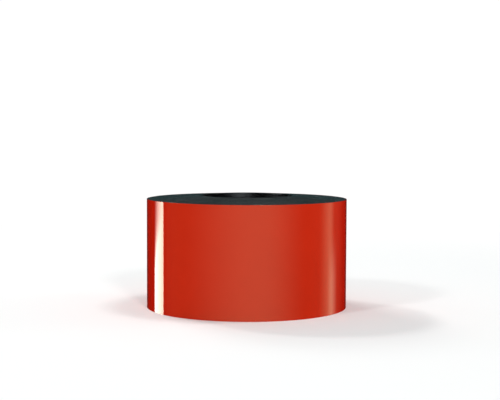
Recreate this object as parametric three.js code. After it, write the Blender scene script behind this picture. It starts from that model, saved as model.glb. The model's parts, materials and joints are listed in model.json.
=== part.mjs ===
// A roll of magnetic sign vinyl, stored standing on its end.
//
// The strip is a dark flexible magnet sheet with a gloss red vinyl film on its outer face. It is wound
// counter-clockwise, seen from above, on a plastic core tube. The roll has slipped a little
// along its axis while it was stored, so the inner turns and the core stand higher than the outer ones.
// The strip's loose end is the tail: it is cut into short panels, hinged on the film's outer face, so
// that it can uncurl from the roll. A clear tape tab closes the roll over the end of the tail.
//
// Millimetres. +Z is up, along the roll's axis, and z = 0 is the surface that the outer turns stand on.
// Azimuths are in degrees, counter-clockwise from +X seen from above.

import * as THREE from "three";

// The strip
const stripWidth = 100;
const magnetThickness = 0.58;
const adhesiveThickness = 0.02;
const filmThickness = 0.1;
const stripThickness = magnetThickness + adhesiveThickness + filmThickness;

// The winding
const turnPitch = 0.71;
const turnCount = 71;
const turnsPerGroup = 12;
const groupCount = 6;
const facetsPerTurn = 90;
const degreesPerFacet = 360 / facetsPerTurn;
const axialSlip = 3.1;

// The core tube
const coreBoreRadius = 38.1;
const coreOuterRadius = 41.5;
const coreChamfer = 0.8;

// The tape under the first turn, which holds the strip to the core
const startTapeThickness = 0.1;
const startTapeSpan = 24;
const startTapeMargin = 10;

// The tail
const tailEndAzimuth = 158;
const tailPanelCount = 9;
const tailPanelSpan = 16;
const tailStartAzimuth = tailEndAzimuth - tailPanelCount * tailPanelSpan;

// The closing tab
const tabThickness = 0.1;
const tabHeight = 48;
const tabSpan = 12;

// Gaps
const hairGap = 0.03;
const groupGap = 0.06;
const tailGap = 0.3;
const panelGap = 0.2;

const windingStartRadius = coreOuterRadius + 2 * hairGap + startTapeThickness;
const levelTurn = turnsPerGroup * (groupCount - 1);

const coreMaterial = new THREE.MeshStandardMaterial({ color: 0x0c0d0f, roughness: 0.35, metalness: 0 });
const magnetMaterial = new THREE.MeshStandardMaterial({ color: 0x2c3133, roughness: 0.85, metalness: 0 });
const filmMaterial = new THREE.MeshStandardMaterial({ color: 0xc42c16, roughness: 0.15, metalness: 0 });
const tapeMaterial = new THREE.MeshStandardMaterial({ color: 0xd9dad4, roughness: 0.3, metalness: 0 });

/** Inner radius of the strip after it has made a number of turns, which need not be whole. */
function stripInnerRadius(turns) {
  return windingStartRadius + turnPitch * turns;
}

/** How far the winding has slipped up at a radius: most at the core, and nothing in the outermost group. */
function slipAt(radius) {
  const levelRadius = stripInnerRadius(levelTurn);
  const fromLevel = (levelRadius - radius) / (levelRadius - coreOuterRadius);
  return axialSlip * THREE.MathUtils.clamp(fromLevel, 0, 1);
}

/** A ring about the Z axis from a closed profile of [radius, height] points, its first facet at the tail end. */
function ringAboutAxis(profile) {
  const points = profile.map(([radius, height]) => new THREE.Vector2(radius, height));
  const start = THREE.MathUtils.degToRad(tailEndAzimuth + 90);
  return new THREE.LatheGeometry(points, facetsPerTurn, start).rotateX(Math.PI / 2);
}

/** Lets a ring's radii grow by one turn's pitch on the way round, and step back down over its last facet. */
function growIntoSpiral(geometry, pointsPerColumn) {
  const position = geometry.getAttribute("position");
  for (let i = 0; i < position.count; i++) {
    const facet = Math.floor(i / pointsPerColumn) % facetsPerTurn;
    const radius = Math.hypot(position.getX(i), position.getY(i));
    const growth = 1 + (turnPitch * facet) / facetsPerTurn / radius;
    position.setXY(i, position.getX(i) * growth, position.getY(i) * growth);
  }
  return geometry;
}

/** The flat outline of an arc of strip, between two radii that are functions of the azimuth. */
function arcOutline(startAzimuth, endAzimuth, innerRadiusAt, outerRadiusAt, endGap) {
  const steps = Math.round((endAzimuth - startAzimuth) / degreesPerFacet);
  const trim = THREE.MathUtils.radToDeg(endGap / 2 / outerRadiusAt(startAzimuth));
  const azimuths = [];
  for (let i = 0; i <= steps; i++) {
    const azimuth = startAzimuth + i * degreesPerFacet;
    azimuths.push(THREE.MathUtils.clamp(azimuth, startAzimuth + trim, endAzimuth - trim));
  }
  const pointAt = (azimuth, radius) => {
    const angle = THREE.MathUtils.degToRad(azimuth);
    return new THREE.Vector2(radius * Math.cos(angle), radius * Math.sin(angle));
  };
  const outside = azimuths.map((azimuth) => pointAt(azimuth, outerRadiusAt(azimuth)));
  const inside = azimuths.map((azimuth) => pointAt(azimuth, innerRadiusAt(azimuth)));
  return new THREE.Shape([...outside, ...inside.reverse()]);
}

/** An arc of strip that stands from one height up to another. */
function standingArc(outline, bottom, height) {
  return new THREE.ExtrudeGeometry(outline, { depth: height, bevelEnabled: false }).translate(0, 0, bottom);
}

/** Radius of the last turn's inner face at an azimuth between its start and the end of the tail. */
function lastTurnInnerRadius(azimuth) {
  return stripInnerRadius(turnCount - 1 + (azimuth - tailEndAzimuth) / 360 + (azimuth < tailEndAzimuth ? 1 : 0));
}

const root = new THREE.Group();

function addPart(name, geometry, material) {
  const mesh = new THREE.Mesh(geometry, material);
  mesh.name = name;
  root.add(mesh);
}

/** Adds one arc of the last turn as its two layers, with no gap between them but the adhesive. */
function addStripArc(magnetName, filmName, startAzimuth, endAzimuth, endGap) {
  const magnetOuter = (azimuth) => lastTurnInnerRadius(azimuth) + magnetThickness;
  const filmInner = (azimuth) => magnetOuter(azimuth) + adhesiveThickness;
  const filmOuter = (azimuth) => filmInner(azimuth) + filmThickness;
  const magnet = arcOutline(startAzimuth, endAzimuth, lastTurnInnerRadius, magnetOuter, endGap);
  const film = arcOutline(startAzimuth, endAzimuth, filmInner, filmOuter, endGap);
  addPart(magnetName, standingArc(magnet, 0, stripWidth), magnetMaterial);
  addPart(filmName, standingArc(film, 0, stripWidth), filmMaterial);
}

function addCore() {
  const top = stripWidth + axialSlip;
  const profile = [
    [coreBoreRadius + coreChamfer, axialSlip],
    [coreOuterRadius - coreChamfer, axialSlip],
    [coreOuterRadius, axialSlip + coreChamfer],
    [coreOuterRadius, top - coreChamfer],
    [coreOuterRadius - coreChamfer, top],
    [coreBoreRadius + coreChamfer, top],
    [coreBoreRadius, top - coreChamfer],
    [coreBoreRadius, axialSlip + coreChamfer],
    [coreBoreRadius + coreChamfer, axialSlip],
  ];
  addPart("core_tube", ringAboutAxis(profile), coreMaterial);

  const inner = coreOuterRadius + hairGap;
  const outline = arcOutline(
    tailEndAzimuth,
    tailEndAzimuth + startTapeSpan,
    () => inner,
    () => inner + startTapeThickness,
    0,
  );
  const tape = standingArc(outline, axialSlip + startTapeMargin, stripWidth - 2 * startTapeMargin);
  addPart("core_start_tape", tape, tapeMaterial);
}

/** Adds the turns under the last one, in groups that lie against each other. */
function addWinding() {
  for (let group = 0; group < groupCount; group++) {
    const firstTurn = group * turnsPerGroup;
    const lastTurn = Math.min(firstTurn + turnsPerGroup, turnCount - 1);
    const gap = lastTurn === turnCount - 1 ? tailGap : groupGap;
    const inner = stripInnerRadius(firstTurn);
    const outer = stripInnerRadius(lastTurn) - gap;
    const profile = [
      [inner, slipAt(inner)],
      [outer, slipAt(outer)],
      [outer, slipAt(outer) + stripWidth],
      [inner, slipAt(inner) + stripWidth],
      [inner, slipAt(inner)],
    ];
    const twoDigits = (turn) => String(turn).padStart(2, "0");
    const name = `winding_turns_${twoDigits(firstTurn + 1)}_${twoDigits(lastTurn)}`;
    addPart(name, growIntoSpiral(ringAboutAxis(profile), profile.length), magnetMaterial);
  }
}

/** Adds the last turn: the part that stays on the roll, and then the tail's panels. */
function addLastTurn() {
  addStripArc("outer_turn_magnet", "outer_turn_film", tailEndAzimuth, tailStartAzimuth + 360, panelGap);
  for (let panel = 0; panel < tailPanelCount; panel++) {
    const start = tailStartAzimuth + panel * tailPanelSpan;
    addStripArc(`tail_magnet_${panel + 1}`, `tail_film_${panel + 1}`, start, start + tailPanelSpan, panelGap);
  }
}

/** Adds the tape that closes the roll: its anchor on the tail, and its flap down on the turn below. */
function addClosingTab() {
  const bottom = (stripWidth - tabHeight) / 2;
  const highRadius = stripInnerRadius(turnCount) + stripThickness + hairGap;
  const onTail = (azimuth) => lastTurnInnerRadius(azimuth) + stripThickness + hairGap;
  const overStep = (azimuth) => (azimuth < tailEndAzimuth + degreesPerFacet ? highRadius : onTail(azimuth));
  const addTape = (name, startAzimuth, innerRadiusAt) => {
    const outerRadiusAt = (azimuth) => innerRadiusAt(azimuth) + tabThickness;
    const outline = arcOutline(startAzimuth, startAzimuth + tabSpan, innerRadiusAt, outerRadiusAt, panelGap);
    addPart(name, standingArc(outline, bottom, tabHeight), tapeMaterial);
  };
  addTape("closure_tab_anchor", tailEndAzimuth - tabSpan, onTail);
  addTape("closure_tab_flap", tailEndAzimuth, overStep);
}

addCore();
addWinding();
addLastTurn();
addClosingTab();

export default root;
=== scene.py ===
# A roll of magnetic sign vinyl: the finished look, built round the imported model.
#
# Metres, +Z up along the roll's axis, z = 0 is the surface that the roll stands on. Angles round the
# roll are azimuths in degrees, counter-clockwise from +X seen from above. The strip is one spiral: a
# place along it is a number of turns, 0 where it starts on the core and TURNS where the tail ends.
import json
import math

import bpy
import numpy as np
from mathutils import Matrix, Vector

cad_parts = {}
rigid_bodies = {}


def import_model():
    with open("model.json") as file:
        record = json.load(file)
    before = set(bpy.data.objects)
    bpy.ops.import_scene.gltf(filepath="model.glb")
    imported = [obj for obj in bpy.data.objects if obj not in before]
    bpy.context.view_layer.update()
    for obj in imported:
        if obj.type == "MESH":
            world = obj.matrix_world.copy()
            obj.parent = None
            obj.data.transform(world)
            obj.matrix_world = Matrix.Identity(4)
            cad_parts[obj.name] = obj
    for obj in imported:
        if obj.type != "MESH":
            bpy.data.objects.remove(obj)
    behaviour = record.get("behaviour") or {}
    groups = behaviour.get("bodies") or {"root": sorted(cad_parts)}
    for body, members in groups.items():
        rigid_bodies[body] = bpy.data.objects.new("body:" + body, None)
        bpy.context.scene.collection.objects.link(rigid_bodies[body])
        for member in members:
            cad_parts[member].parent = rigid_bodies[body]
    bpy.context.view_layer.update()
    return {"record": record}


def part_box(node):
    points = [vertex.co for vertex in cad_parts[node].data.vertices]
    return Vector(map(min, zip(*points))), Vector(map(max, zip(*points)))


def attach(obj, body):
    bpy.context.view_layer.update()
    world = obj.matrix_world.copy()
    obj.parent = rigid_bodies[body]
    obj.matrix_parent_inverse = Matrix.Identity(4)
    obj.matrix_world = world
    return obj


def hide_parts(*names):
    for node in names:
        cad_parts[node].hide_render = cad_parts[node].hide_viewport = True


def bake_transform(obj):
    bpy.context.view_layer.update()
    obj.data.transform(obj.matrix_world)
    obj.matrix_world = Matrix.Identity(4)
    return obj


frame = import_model()

# ---------------------------------------------------------------- sizes

# The strip, and how it is wound
MAGNET = 0.00058
ADHESIVE = 0.00002
FILM = 0.0001
STRIP = MAGNET + ADHESIVE + FILM
EDGE_ROUND = 0.00005
TURNS = 71
PITCH = 0.00071
GROUP = 12
LEVEL_TURN = 60

# What keeps the wound turns clear of the last one: a gap, a thinner layer, and a short part of a turn
TAIL_GAP = 0.0003
WOUND_FACE_CUT = 0.00002
WOUND_END_CUT = 0.0005

# The core and the tapes
CORE_WALL = 0.0034
CORE_END_ROUND = 0.0004
START_TAPE = 0.0001
START_TAPE_GAP = 0.00003
START_TAPE_SPAN = 24
TAB = 0.00006
TAB_GAP = 0.00002
TAB_HALF_SPAN = 11.76
TAB_BEND = 0.005
TAB_HINGE_HEIGHT = 0.00013

# Steps along the strip, for each turn
HIDDEN_STEPS = 120
EXPOSED_STEPS = 720
LAST_TURN_STEPS = 1440

JOINTS = {joint["name"]: joint for joint in frame["record"]["behaviour"]["joints"]}
TAIL_HINGES = [name for name in JOINTS if name != "tab_peel"]
STRIP_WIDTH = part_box("outer_turn_film")[1].z
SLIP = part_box("core_tube")[0].z
CORE_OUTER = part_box("core_tube")[1].y
CORE_BORE = CORE_OUTER - CORE_WALL
TAB_LOW, TAB_HIGH = (corner.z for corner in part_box("closure_tab_anchor"))


def joint_azimuth(name):
    x, y, _ = JOINTS[name]["pos_m"]
    return math.degrees(math.atan2(y, x)) % 360


TAIL_END = joint_azimuth("tab_peel")
PANEL = joint_azimuth(TAIL_HINGES[1]) - joint_azimuth(TAIL_HINGES[0])
END_RADIUS = math.hypot(*JOINTS["tab_peel"]["pos_m"][:2]) - TAB_HINGE_HEIGHT
START_RADIUS = END_RADIUS - STRIP - PITCH * TURNS


def inner_radius(turns):
    """Radius of the strip's inner face. The last ten wound turns lie closer, to leave the tail its gap."""
    wound = START_RADIUS + PITCH * turns
    squeeze = TAIL_GAP * np.clip((turns - LEVEL_TURN) / (TURNS - 1 - LEVEL_TURN), 0, 1)
    return np.where(turns < TURNS - 1, wound - squeeze, wound)


def waves(turns, seed, periods, size):
    """A smooth random value along the strip: a few sine waves with seeded phases."""
    chance = np.random.default_rng(seed)
    total = np.zeros_like(turns)
    for period in periods:
        total += np.sin(2 * np.pi * (turns / period + chance.random()))
    return size * total / len(periods)


def lift(turns):
    """How far the strip stands above the level of the outer turns: the slip, and a little wander."""
    level = START_RADIUS + PITCH * LEVEL_TURN
    radius = START_RADIUS + PITCH * turns
    cone = SLIP * np.clip((level - radius) / (level - CORE_OUTER), 0, 1)
    wander = waves(turns, 11, (0.37, 0.83, 2.3, 5.1), 0.00016)
    fade = np.clip((TURNS - 1.5 - turns) / 6, 0, 1)
    return np.maximum(cone + wander * fade, 0)


def soft_step(value):
    """0 below 0, 1 above 1, and a smooth rise between them."""
    clipped = np.clip(value, 0, 1)
    return clipped * clipped * (3 - 2 * clipped)


# ---------------------------------------------------------------- mesh helpers


def new_mesh(name, points, faces, material):
    """A mesh object of those points and faces, smooth except at its sharp edges."""
    mesh = bpy.data.meshes.new(name)
    mesh.from_pydata(points.tolist(), [], faces)
    mesh.validate()
    mesh.update()
    mesh.shade_smooth()
    mesh.set_sharp_from_angle(angle=math.radians(40))
    mesh.materials.append(material)
    piece = bpy.data.objects.new(name, mesh)
    bpy.context.collection.objects.link(piece)
    return piece


def new_piece(name, points, faces, material):
    """A mesh object that is part of the roll."""
    piece = new_mesh(name, points, faces, material)
    return piece


def grid_faces(columns, rows, first=0):
    """Quads over a grid of points that is stored column by column, from the first point's number."""
    faces = []
    for i in range(columns - 1):
        for k in range(rows - 1):
            here = first + i * rows + k
            there = here + rows
            faces.append((here, here + 1, there + 1, there))
    return faces


def tube_faces(stations, around, closed=False):
    """Quads between the stations of a swept section, with end caps unless it closes on itself."""
    faces = []
    for i in range(stations if closed else stations - 1):
        here, there = i * around, (i + 1) % stations * around
        for k in range(around):
            after = (k + 1) % around
            faces.append((here + k, there + k, there + after, here + after))
    if not closed:
        faces.append(tuple(range(around)))
        faces.append(tuple((stations - 1) * around + k for k in reversed(range(around))))
    return faces


def rounded_section(inner, outer, low, high, radius, steps=3):
    """Points (r, z) of an upright rectangle with rounded corners, counter-clockwise with r to the right.

    Each side has a point just inside either end, so that smooth shading leaves the side flat.
    """
    corners = ((outer, low, -90), (outer, high, 0), (inner, high, 90), (inner, low, 180))
    along = min(2 * radius, 0.45 * (outer - inner))
    section = []
    for r, z, start in corners:
        into_r = 1 if r == inner else -1
        into_z = 1 if z == low else -1
        centre_r, centre_z = r + into_r * radius, z + into_z * radius
        arc = []
        for i in range(steps):
            angle = math.radians(start + 90 * i / (steps - 1))
            arc.append((centre_r + radius * math.cos(angle), centre_z + radius * math.sin(angle)))
        level_side = [(r + into_r * along, z)]
        upright_side = [(r, z + into_z * 2 * radius)]
        if start in (-90, 90):
            section += level_side + arc + upright_side
        else:
            section += upright_side + arc + level_side
    return np.array(section)


def sweep(section, angle, base=0.0, rise=0.0):
    """The section's (r, z) points at each angle round the axis, moved out by base and up by rise."""
    radius = section[None, :, 0] + np.broadcast_to(base, angle.shape)[:, None]
    height = section[None, :, 1] + np.broadcast_to(rise, angle.shape)[:, None]
    around = angle[:, None]
    return np.stack((radius * np.cos(around), radius * np.sin(around), height), axis=-1).reshape(-1, 3)


def strip_piece(name, start, end, per_turn, layer, material, slot):
    """One layer of the strip, from one number of turns to another. layer is its (inner, outer) depth."""
    count = max(2, round((end - start) * per_turn) + 1)
    turns = np.linspace(start, end, count)
    round_by = min(EDGE_ROUND, 0.25 * (layer[1] - layer[0]))
    section = rounded_section(layer[0], layer[1], 0, STRIP_WIDTH, round_by)
    is_wound = 0.5 * (start + end) < TURNS - 1
    base = inner_radius(turns) if is_wound else START_RADIUS + PITCH * turns
    points = sweep(section, np.radians(TAIL_END + 360 * turns), base, lift(turns))
    return new_piece(name, points, tube_faces(count, len(section)), material)


# ---------------------------------------------------------------- material helpers


class Nodes:
    """A material's node tree, with short calls for the few nodes that the materials here share."""

    def __init__(self, name):
        self.material = bpy.data.materials.new(name)
        self.material.use_nodes = True
        self.tree = self.material.node_tree
        self.shader = self.tree.nodes["Principled BSDF"]

    def set(self, **values):
        """Sets the shader's sockets, with _ for the spaces in their names."""
        for name, value in values.items():
            self.shader.inputs[name.replace("_", " ")].default_value = value

    def link(self, source, socket):
        """Links a value to one of the shader's sockets."""
        self.join(source, self.shader.inputs[socket])

    def add(self, kind, **settings):
        node = self.tree.nodes.new(kind)
        for name, value in settings.items():
            setattr(node, name, value)
        return node

    def join(self, source, target):
        self.tree.links.new(source, target)

    def place(self):
        return self.add("ShaderNodeTexCoord").outputs["Object"]

    def stretched(self, scale):
        """Object coordinates, each times its scale."""
        mapping = self.add("ShaderNodeMapping")
        mapping.inputs["Scale"].default_value = scale
        self.join(self.place(), mapping.inputs["Vector"])
        return mapping.outputs["Vector"]

    def round_the_axis(self, angle_scale, height_scale):
        """Cylinder coordinates (angle, height, 0), each times its scale."""
        split = self.add("ShaderNodeSeparateXYZ")
        self.join(self.place(), split.inputs[0])
        angle = self.add("ShaderNodeMath", operation="ARCTAN2")
        self.join(split.outputs["Y"], angle.inputs[0])
        self.join(split.outputs["X"], angle.inputs[1])
        joined = self.add("ShaderNodeCombineXYZ")
        pairs = ((angle.outputs[0], angle_scale), (split.outputs["Z"], height_scale))
        for target, (source, scale) in zip(joined.inputs, pairs):
            times = self.add("ShaderNodeMath", operation="MULTIPLY")
            times.inputs[1].default_value = scale
            self.join(source, times.inputs[0])
            self.join(times.outputs[0], target)
        return joined.outputs[0]

    def noise(self, vector, scale, detail=3.0, roughness=0.55):
        node = self.add("ShaderNodeTexNoise")
        node.inputs["Scale"].default_value = scale
        node.inputs["Detail"].default_value = detail
        node.inputs["Roughness"].default_value = roughness
        self.join(vector, node.inputs["Vector"])
        return node.outputs["Fac"]

    def ramp(self, value, stops):
        """Colours along a value, from (position, colour) stops."""
        node = self.add("ShaderNodeValToRGB")
        ramp = node.color_ramp
        while len(ramp.elements) < len(stops):
            ramp.elements.new(0.5)
        for element, (position, colour) in zip(ramp.elements, stops):
            element.position = position
            element.color = (*colour, 1)
        self.join(value, node.inputs["Fac"])
        return node.outputs["Color"]

    def multiply(self, first, second):
        """Two colours multiplied."""
        node = self.add("ShaderNodeMix", data_type="RGBA", blend_type="MULTIPLY")
        node.inputs["Factor"].default_value = 1.0
        targets = [socket for socket in node.inputs if socket.type == "RGBA"]
        self.join(first, targets[0])
        self.join(second, targets[1])
        return next(socket for socket in node.outputs if socket.type == "RGBA")

    def range(self, value, low, high, start=0.0, end=1.0):
        """The value's range from start to end, moved to the range from low to high."""
        node = self.add("ShaderNodeMapRange")
        limits = (("From Min", start), ("From Max", end), ("To Min", low), ("To Max", high))
        for name, number in limits:
            node.inputs[name].default_value = number
        self.join(value, node.inputs["Value"])
        return node.outputs["Result"]

    def bump(self, height, distance, strength=1.0, under=None):
        """A normal from a height, on top of another bump's normal if under is one."""
        node = self.add("ShaderNodeBump")
        node.inputs["Distance"].default_value = distance
        node.inputs["Strength"].default_value = strength
        self.join(height, node.inputs["Height"])
        if under is not None:
            self.join(under, node.inputs["Normal"])
        return node.outputs["Normal"]


# ---------------------------------------------------------------- materials


def make_film_material():
    """Gloss red vinyl: an even cast colour, and a face that is very slightly uneven over the turn below."""
    n = Nodes("red_vinyl")
    n.set(Roughness=0.03, IOR=1.5, Specular_Tint=(1.0, 0.92, 0.57, 1))
    cloud = n.noise(n.place(), 38, 4)
    n.link(n.ramp(cloud, ((0.3, (0.53, 0.0092, 0.0006)), (0.7, (0.555, 0.0106, 0.001)))), "Base Color")
    handled = n.noise(n.place(), 95, 5, 0.65)
    n.link(n.range(handled, 0.018, 0.04, 0.35, 0.75), "Roughness")
    sag = n.noise(n.stretched((1, 1, 0.25)), 26, 1)
    peel = n.noise(n.place(), 620, 2)
    wavy = n.bump(sag, 0.00005, 0.1)
    n.link(n.bump(peel, 0.000004, 0.2, wavy), "Normal")
    return n.material


def make_magnet_material():
    """Matt charcoal magnet sheet: ferrite powder in a flexible binder, with pale and dark specks."""
    n = Nodes("flexible_magnet")
    n.set(Specular_IOR_Level=0.0)
    grain = n.noise(n.place(), 1900, 3, 0.7)
    patch = n.noise(n.place(), 120, 4, 0.6)
    base = n.ramp(patch, ((0.3, (0.0205, 0.0405, 0.043)), (0.72, (0.0325, 0.060, 0.0625))))
    dark, plain, pale = (0.4, 0.4, 0.4), (1, 1, 1), (3, 3, 3)
    specks = n.ramp(grain, ((0.36, dark), (0.52, plain), (0.68, plain), (0.76, pale)))
    n.link(n.multiply(base, specks), "Base Color")
    n.link(n.range(grain, 0.75, 1.0, 0.3, 0.7), "Roughness")
    coarse = n.noise(n.place(), 900, 4, 0.65)
    n.link(n.bump(coarse, 0.00005, 0.8), "Normal")
    return n.material


def make_shaded_edge_material():
    """The cut edge of the film between the wound turns: dark red with dust from the magnet sheet, and darker
    still with painted shade of the narrow grooves between the turns.
    """
    n = Nodes("vinyl_cut_edge_painted_shade")
    dust = n.noise(n.place(), 700, 4, 0.7)
    # Both colours are near black. They are painted groove shade, and the dust varies the tone.
    n.link(n.ramp(dust, ((0.35, (0.02, 0.028, 0.029)), (0.75, (0.04, 0.022, 0.021)))), "Base Color")
    n.link(n.range(dust, 0.5, 0.85), "Roughness")
    n.link(n.bump(dust, 0.00002, 0.5), "Normal")
    return n.material


def make_core_material():
    """Black extruded plastic, with fine die lines along the tube and a satin gloss."""
    n = Nodes("black_core_plastic")
    n.set(IOR=1.5)
    lines = n.noise(n.round_the_axis(260, 9), 1, 4, 0.6)
    scuff = n.noise(n.place(), 160, 5, 0.65)
    n.link(n.ramp(scuff, ((0.4, (0.0014, 0.0016, 0.002)), (0.75, (0.004, 0.0045, 0.005)))), "Base Color")
    n.link(n.range(scuff, 0.36, 0.48, 0.3, 0.75), "Roughness")
    pitted = n.bump(n.noise(n.place(), 1400, 2), 0.000008, 0.5)
    n.link(n.bump(lines, 0.00003, 0.6, pitted), "Normal")
    return n.material


def make_tape_material():
    """Clear tape, a little frosted, with fine streaks in its adhesive."""
    n = Nodes("clear_tape")
    n.set(Base_Color=(0.86, 0.87, 0.85, 1), IOR=1.48, Specular_IOR_Level=1.0)
    streaks = n.noise(n.stretched((60, 60, 400)), 1, 3, 0.5)
    n.link(n.range(streaks, 0.09, 0.16, 0.35, 0.7), "Alpha")
    n.link(n.range(streaks, 0.12, 0.24, 0.3, 0.7), "Roughness")
    n.link(n.bump(streaks, 0.00001, 0.4), "Normal")
    return n.material


def make_start_tape_material():
    """Double-sided tape on the core: off-white and fibrous."""
    n = Nodes("double_sided_tape")
    fibres = n.noise(n.stretched((500, 500, 90)), 1, 5, 0.65)
    n.link(n.ramp(fibres, ((0.35, (0.5, 0.49, 0.43)), (0.7, (0.72, 0.71, 0.66)))), "Base Color")
    n.link(n.range(fibres, 0.45, 0.8), "Roughness")
    n.link(n.bump(fibres, 0.00003, 0.6), "Normal")
    return n.material


# ---------------------------------------------------------------- the roll's pieces


def make_core(material):
    """The core tube, with its sawn ends rounded over."""
    stations, corner_steps = 288, 4
    low, high = SLIP, SLIP + STRIP_WIDTH
    section = rounded_section(CORE_BORE, CORE_OUTER, low, high, CORE_END_ROUND, corner_steps)
    points = sweep(section, np.linspace(0, 2 * np.pi, stations, endpoint=False))
    faces = tube_faces(stations, len(section), closed=True)
    core = new_piece("core_tube_detail", points, faces, material)
    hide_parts("core_tube")
    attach(core, "roll")


def make_start_tape(material):
    """The tape between the core and the first turn."""
    stations = 25
    low, high = (corner.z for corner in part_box("core_start_tape"))
    inner = CORE_OUTER + START_TAPE_GAP
    section = rounded_section(inner, inner + START_TAPE, low, high, 0.3 * START_TAPE)
    azimuth = np.linspace(TAIL_END, TAIL_END + START_TAPE_SPAN, stations)
    faces = tube_faces(stations, len(section))
    tape = new_piece("core_start_tape_detail", sweep(section, np.radians(azimuth)), faces, material)
    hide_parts("core_start_tape")
    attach(tape, "roll")


def make_winding(magnet_material, shaded_edge_material, film_material):
    """The wound turns, as the same groups that the CAD model names.

    The last wound turn's film shows its red face when the tail leaves it. Deeper down, only cut edges show.
    """
    exposed = TURNS - 2
    for first in range(0, TURNS - 1, GROUP):
        last = min(first + GROUP, TURNS - 1)
        is_outermost = last == TURNS - 1
        end = last - WOUND_END_CUT if is_outermost else last
        magnet_outer = MAGNET - WOUND_FACE_CUT if is_outermost else MAGNET
        magnet_layer = (0, magnet_outer)
        film_layer = (magnet_outer, magnet_outer + ADHESIVE + FILM)
        label = f"{first + 1:02d}_{last:02d}"
        name = f"wound_magnet_{label}"
        magnet = strip_piece(name, first, end, HIDDEN_STEPS, magnet_layer, magnet_material, "magnet_sheet")
        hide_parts(f"winding_turns_{label}")
        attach(magnet, "roll")
        covered = min(last, exposed)
        name = f"wound_film_{first + 1:02d}_{covered:02d}"
        film = strip_piece(name, first, covered, HIDDEN_STEPS, film_layer, shaded_edge_material, "vinyl_film")
        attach(film, "roll")
    name = f"wound_film_{TURNS - 1}"
    film = strip_piece(name, exposed, end, EXPOSED_STEPS, film_layer, film_material, "vinyl_film")
    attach(film, "roll")


def hinge_turns(name):
    """A tail hinge's place along the strip, in turns."""
    return TURNS - (TAIL_END - joint_azimuth(name)) / 360


def make_last_turn(magnet_material, film_material):
    """The last turn. Its tail has a piece over each hinge, from the middle of one panel to that of the next.
    """
    half = PANEL / 2 / 360
    fixed_end = hinge_turns(TAIL_HINGES[0]) - half
    last_bend_end = hinge_turns(TAIL_HINGES[-1]) + half
    layers = (
        ("magnet", (0, MAGNET), magnet_material, "magnet_sheet"),
        ("film", (MAGNET + ADHESIVE / 2, STRIP), film_material, "vinyl_film"),
    )
    for layer, depth, material, slot in layers:
        look = (LAST_TURN_STEPS, depth, material, slot)
        fixed = strip_piece(f"outer_turn_{layer}_detail", TURNS - 1, fixed_end, *look)
        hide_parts(f"outer_turn_{layer}")
        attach(fixed, "roll")
        for number, hinge in enumerate(TAIL_HINGES, start=1):
            start, end = hinge_turns(hinge) - half, hinge_turns(hinge) + half
            bend = strip_piece(f"tail_{layer}_bend_{number}", start, end, *look)
            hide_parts(f"tail_{layer}_{number}")
            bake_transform(bend)
        tail_end = strip_piece(f"tail_{layer}_end", last_bend_end, TURNS, *look)
        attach(tail_end, JOINTS["tab_peel"]["parent"])


def make_tab(material):
    """The closing tape: one thin strip over the tail's end, with the toothed cuts of a dispenser."""
    teeth, tooth_depth, tooth_fade = 32, 0.0005, 12
    columns, rows = 97, 2 * teeth + 1
    half_length = math.radians(TAB_HALF_SPAN) * END_RADIUS
    height = np.linspace(TAB_LOW, TAB_HIGH, rows)[None, :]
    reach = np.linspace(-1, 1, columns)[:, None]
    tooth = np.where(np.arange(rows) % 2, tooth_depth, 0)[None, :]
    distance = reach * half_length - np.sign(reach) * tooth * np.abs(reach) ** tooth_fade
    angle = math.radians(TAIL_END) + distance / END_RADIUS
    on_strip = END_RADIUS + PITCH * distance / (2 * math.pi * END_RADIUS)
    step_down = PITCH * soft_step(distance / TAB_BEND)
    skins = []
    for depth in (TAB_GAP, TAB_GAP + TAB):
        radius = on_strip - step_down + depth
        level = np.broadcast_to(height, radius.shape)
        skins.append(np.stack((radius * np.cos(angle), radius * np.sin(angle), level), axis=-1))
    points = np.array(skins).reshape(-1, 3)

    layer = columns * rows
    faces = grid_faces(columns, rows)
    faces += [(a, d, c, b) for a, b, c, d in grid_faces(columns, rows, first=layer)]
    grid = np.arange(layer).reshape(columns, rows)
    rim = np.concatenate((grid[0], grid[1:, -1], grid[-1, -2::-1], grid[-2:0:-1, 0])).tolist()
    for here, there in zip(rim, rim[1:] + rim[:1]):
        faces.append((here, layer + here, layer + there, there))

    tab = new_piece("closing_tab", points, faces, material)
    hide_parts("closure_tab_anchor", "closure_tab_flap")
    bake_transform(tab)


# ---------------------------------------------------------------- camera, floor and light

WHITE = 1.02
CARD_DISTANCE = 1.5
LIGHT_DISTANCE = 3.0
LIGHT_COLOUR = (1.0, 0.965, 0.945)


def make_camera():
    """A long lens a little above the roll, looking level with the top of the strip."""
    aim = Vector((0.00314, 0, 0.09855))
    roll = math.radians(0.21)
    data = bpy.data.cameras.new("camera")
    data.lens = 85.5
    data.sensor_width = 36
    camera = bpy.data.objects.new("camera", data)
    bpy.context.collection.objects.link(camera)
    camera.location = (0, -1.0978, 0.1686)
    look = (aim - camera.location).to_track_quat("-Z", "Y").to_matrix().to_4x4()
    camera.matrix_world = Matrix.Translation(camera.location) @ look @ Matrix.Rotation(roll, 4, "Z")
    bpy.context.scene.camera = camera


def empty_tree(owner, output_kind):
    """The node tree of a material or world, with nothing in it but its output."""
    owner.use_nodes = True
    tree = owner.node_tree
    tree.nodes.clear()
    return tree, tree.nodes.new(output_kind)


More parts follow.
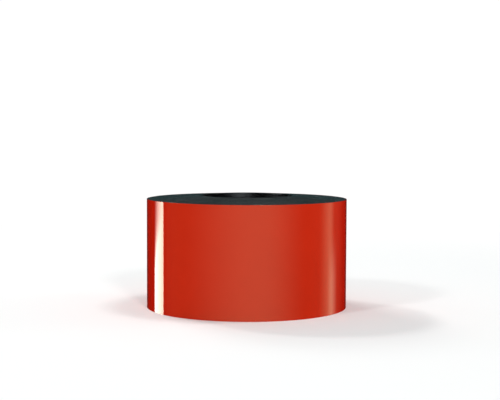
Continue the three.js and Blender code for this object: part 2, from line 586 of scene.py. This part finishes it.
def make_floor():
    """A white floor. Away from the roll it glows evenly, so that it stays white where the lights fall off."""
    size, fade_start, fade_end = 30, 0.35, 0.9
    material = bpy.data.materials.new("floor")
    tree, output = empty_tree(material, "ShaderNodeOutputMaterial")
    mix = tree.nodes.new("ShaderNodeMixShader")
    paper = tree.nodes.new("ShaderNodeBsdfDiffuse")
    paper.inputs["Color"].default_value = (0.9, 0.9, 0.9, 1)
    glow = tree.nodes.new("ShaderNodeEmission")
    glow.inputs["Color"].default_value = (1, 1, 1, 1)
    glow.inputs["Strength"].default_value = WHITE
    place = tree.nodes.new("ShaderNodeTexCoord")
    far = tree.nodes.new("ShaderNodeVectorMath")
    far.operation = "LENGTH"
    fade = tree.nodes.new("ShaderNodeMapRange")
    fade.interpolation_type = "SMOOTHSTEP"
    fade.inputs["From Min"].default_value = fade_start
    fade.inputs["From Max"].default_value = fade_end
    tree.links.new(place.outputs["Object"], far.inputs[0])
    tree.links.new(far.outputs["Value"], fade.inputs["Value"])
    tree.links.new(fade.outputs["Result"], mix.inputs[0])
    tree.links.new(paper.outputs[0], mix.inputs[1])
    tree.links.new(glow.outputs[0], mix.inputs[2])
    tree.links.new(mix.outputs[0], output.inputs["Surface"])
    material.cycles.emission_sampling = "NONE"
    bpy.ops.mesh.primitive_circle_add(vertices=96, radius=size, fill_type="NGON", location=(0, 0, 0))
    floor = bpy.context.object
    floor.name = "floor"
    floor.data.materials.append(material)
    floor.visible_glossy = False


def make_world():
    """White behind everything that the camera sees, and a cool soft fill for everything else."""
    fill_strength, mirrored_strength = 0.33, 0.01
    world = bpy.data.worlds.new("studio")
    bpy.context.scene.world = world
    tree, output = empty_tree(world, "ShaderNodeOutputWorld")
    path = tree.nodes.new("ShaderNodeLightPath")
    seen = tree.nodes.new("ShaderNodeBackground")
    seen.inputs["Color"].default_value = (1, 1, 1, 1)
    seen.inputs["Strength"].default_value = WHITE
    fill = tree.nodes.new("ShaderNodeBackground")
    fill.inputs["Color"].default_value = (0.88, 1.03, 1.07, 1)
    strength = tree.nodes.new("ShaderNodeMapRange")
    strength.inputs["To Min"].default_value = fill_strength
    strength.inputs["To Max"].default_value = mirrored_strength
    mix = tree.nodes.new("ShaderNodeMixShader")
    tree.links.new(path.outputs["Is Glossy Ray"], strength.inputs["Value"])
    tree.links.new(strength.outputs["Result"], fill.inputs["Strength"])
    tree.links.new(path.outputs["Is Camera Ray"], mix.inputs[0])
    tree.links.new(fill.outputs[0], mix.inputs[1])
    tree.links.new(seen.outputs[0], mix.inputs[2])
    tree.links.new(mix.outputs[0], output.inputs["Surface"])


def make_area_light(name, azimuth, elevation, size, power):
    """A soft box that points at the roll and lights it without a mirror image of its own."""
    data = bpy.data.lights.new(name, "AREA")
    data.shape = "SQUARE"
    data.size = size
    data.energy = power
    data.color = LIGHT_COLOUR
    light = bpy.data.objects.new(name, data)
    bpy.context.collection.objects.link(light)
    a, e = math.radians(azimuth), math.radians(elevation)
    away = Vector((math.cos(a) * math.cos(e), math.sin(a) * math.cos(e), math.sin(e)))
    light.location = Vector((0, 0, STRIP_WIDTH / 2)) + away * LIGHT_DISTANCE
    light.rotation_euler = away.to_track_quat("Z", "Y").to_euler()
    light.visible_camera = False
    light.visible_glossy = False


def make_card_material(name, colour):
    """A glow that the mesh's share attribute scales, and that hides nothing behind it."""
    material = bpy.data.materials.new(name)
    tree, output = empty_tree(material, "ShaderNodeOutputMaterial")
    glow = tree.nodes.new("ShaderNodeEmission")
    glow.inputs["Color"].default_value = (*colour, 1)
    clear = tree.nodes.new("ShaderNodeBsdfTransparent")
    both = tree.nodes.new("ShaderNodeAddShader")
    share = tree.nodes.new("ShaderNodeAttribute")
    share.attribute_name = "share"
    tree.links.new(share.outputs["Fac"], glow.inputs["Strength"])
    tree.links.new(glow.outputs[0], both.inputs[0])
    tree.links.new(clear.outputs[0], both.inputs[1])
    tree.links.new(both.outputs[0], output.inputs["Surface"])
    material.cycles.emission_sampling = "NONE"
    return material


def make_reflector(name, sides, softness, colour, heights=(-0.9, 0.15), softer_above=0.0, low_only=False):
    """A bright card that only shows in glossy surfaces: an upright arc round the roll.

    It stands between the azimuths of its two sides and fades in and out over their softness, in degrees.
    softer_above is more softness for the first side, toward the level of the floor and over it. A low_only
    card fades out below that level.
    """
    columns, rows = 121, 81
    softening_depth, fade_top, fade_depth = 0.2, -0.05, 0.13
    first, last = sides
    azimuth = np.linspace(first, last, columns)[:, None]
    height = np.linspace(*heights, rows)[None, :]
    near_level = soft_step(1 + height / softening_depth)
    rise = soft_step((azimuth - first) / (softness[0] + softer_above * near_level**2))
    fall = soft_step((last - azimuth) / softness[1])
    gain = soft_step((fade_top - height) / fade_depth) if low_only else 1
    share = rise * fall * gain

    angle = np.radians(np.broadcast_to(azimuth, share.shape))
    level = np.broadcast_to(height, share.shape)
    points = np.stack((CARD_DISTANCE * np.cos(angle), CARD_DISTANCE * np.sin(angle), level), axis=-1)
    material = make_card_material(name, colour)
    card = new_mesh(name, points.reshape(-1, 3), grid_faces(columns, rows), material)
    card.data.attributes.new("share", "FLOAT", "POINT").data.foreach_set("value", share.ravel())
    card.visible_camera = False
    card.visible_diffuse = False
    card.visible_transmission = False
    card.visible_shadow = False


def make_studio():
    make_floor()
    make_world()

    # Name, azimuth and elevation in degrees, side in metres, power in watts
    make_area_light("front_left", 225, 36, 0.35, 18)
    make_area_light("back_left", 135, 46, 0.35, 21)
    make_area_light("back_soft", 120, 36, 0.7, 20)
    make_area_light("front", 285, 26, 0.35, 24.5)
    make_area_light("above_right", 0, 72, 0.7, 22)
    make_area_light("low_right", 10, 6, 0.7, 24)
    make_area_light("low_left", 150, 6, 0.7, 12)

    # Name, azimuths of the two sides, their softness, and the glow
    overhead = (0.3, 1.1)
    make_reflector("card_left", (142.3, 164.3), (2.5, 1.6), (10, 10.4, 10), softer_above=20)
    make_reflector("card_right", (-4.5, 27), (22, 12), (1.1, 0.94, 0.66))
    make_reflector("card_right_low", (11, 34), (10, 14), (1.2, 1.24, 1.0), low_only=True)
    make_reflector("card_front", (-170, -18), (90, 55), (1.0, 1.02, 0.97))
    make_reflector("card_wide", (-211, 53), (40, 45), (0.34, 0.30, 0.19))
    make_reflector("card_high", (-85, -59), (9, 9), (15, 16.5, 17.5), overhead)
    make_reflector("card_high_left", (172, 185), (5, 5), (11, 12, 12.5), overhead)
    bpy.context.scene.view_settings.view_transform = "Standard"


# ---------------------------------------------------------------- the scene

make_camera()
make_studio()

film_material = make_film_material()
magnet_material = make_magnet_material()
make_core(make_core_material())
make_start_tape(make_start_tape_material())
make_winding(magnet_material, make_shaded_edge_material(), film_material)
make_last_turn(magnet_material, film_material)
make_tab(make_tape_material())
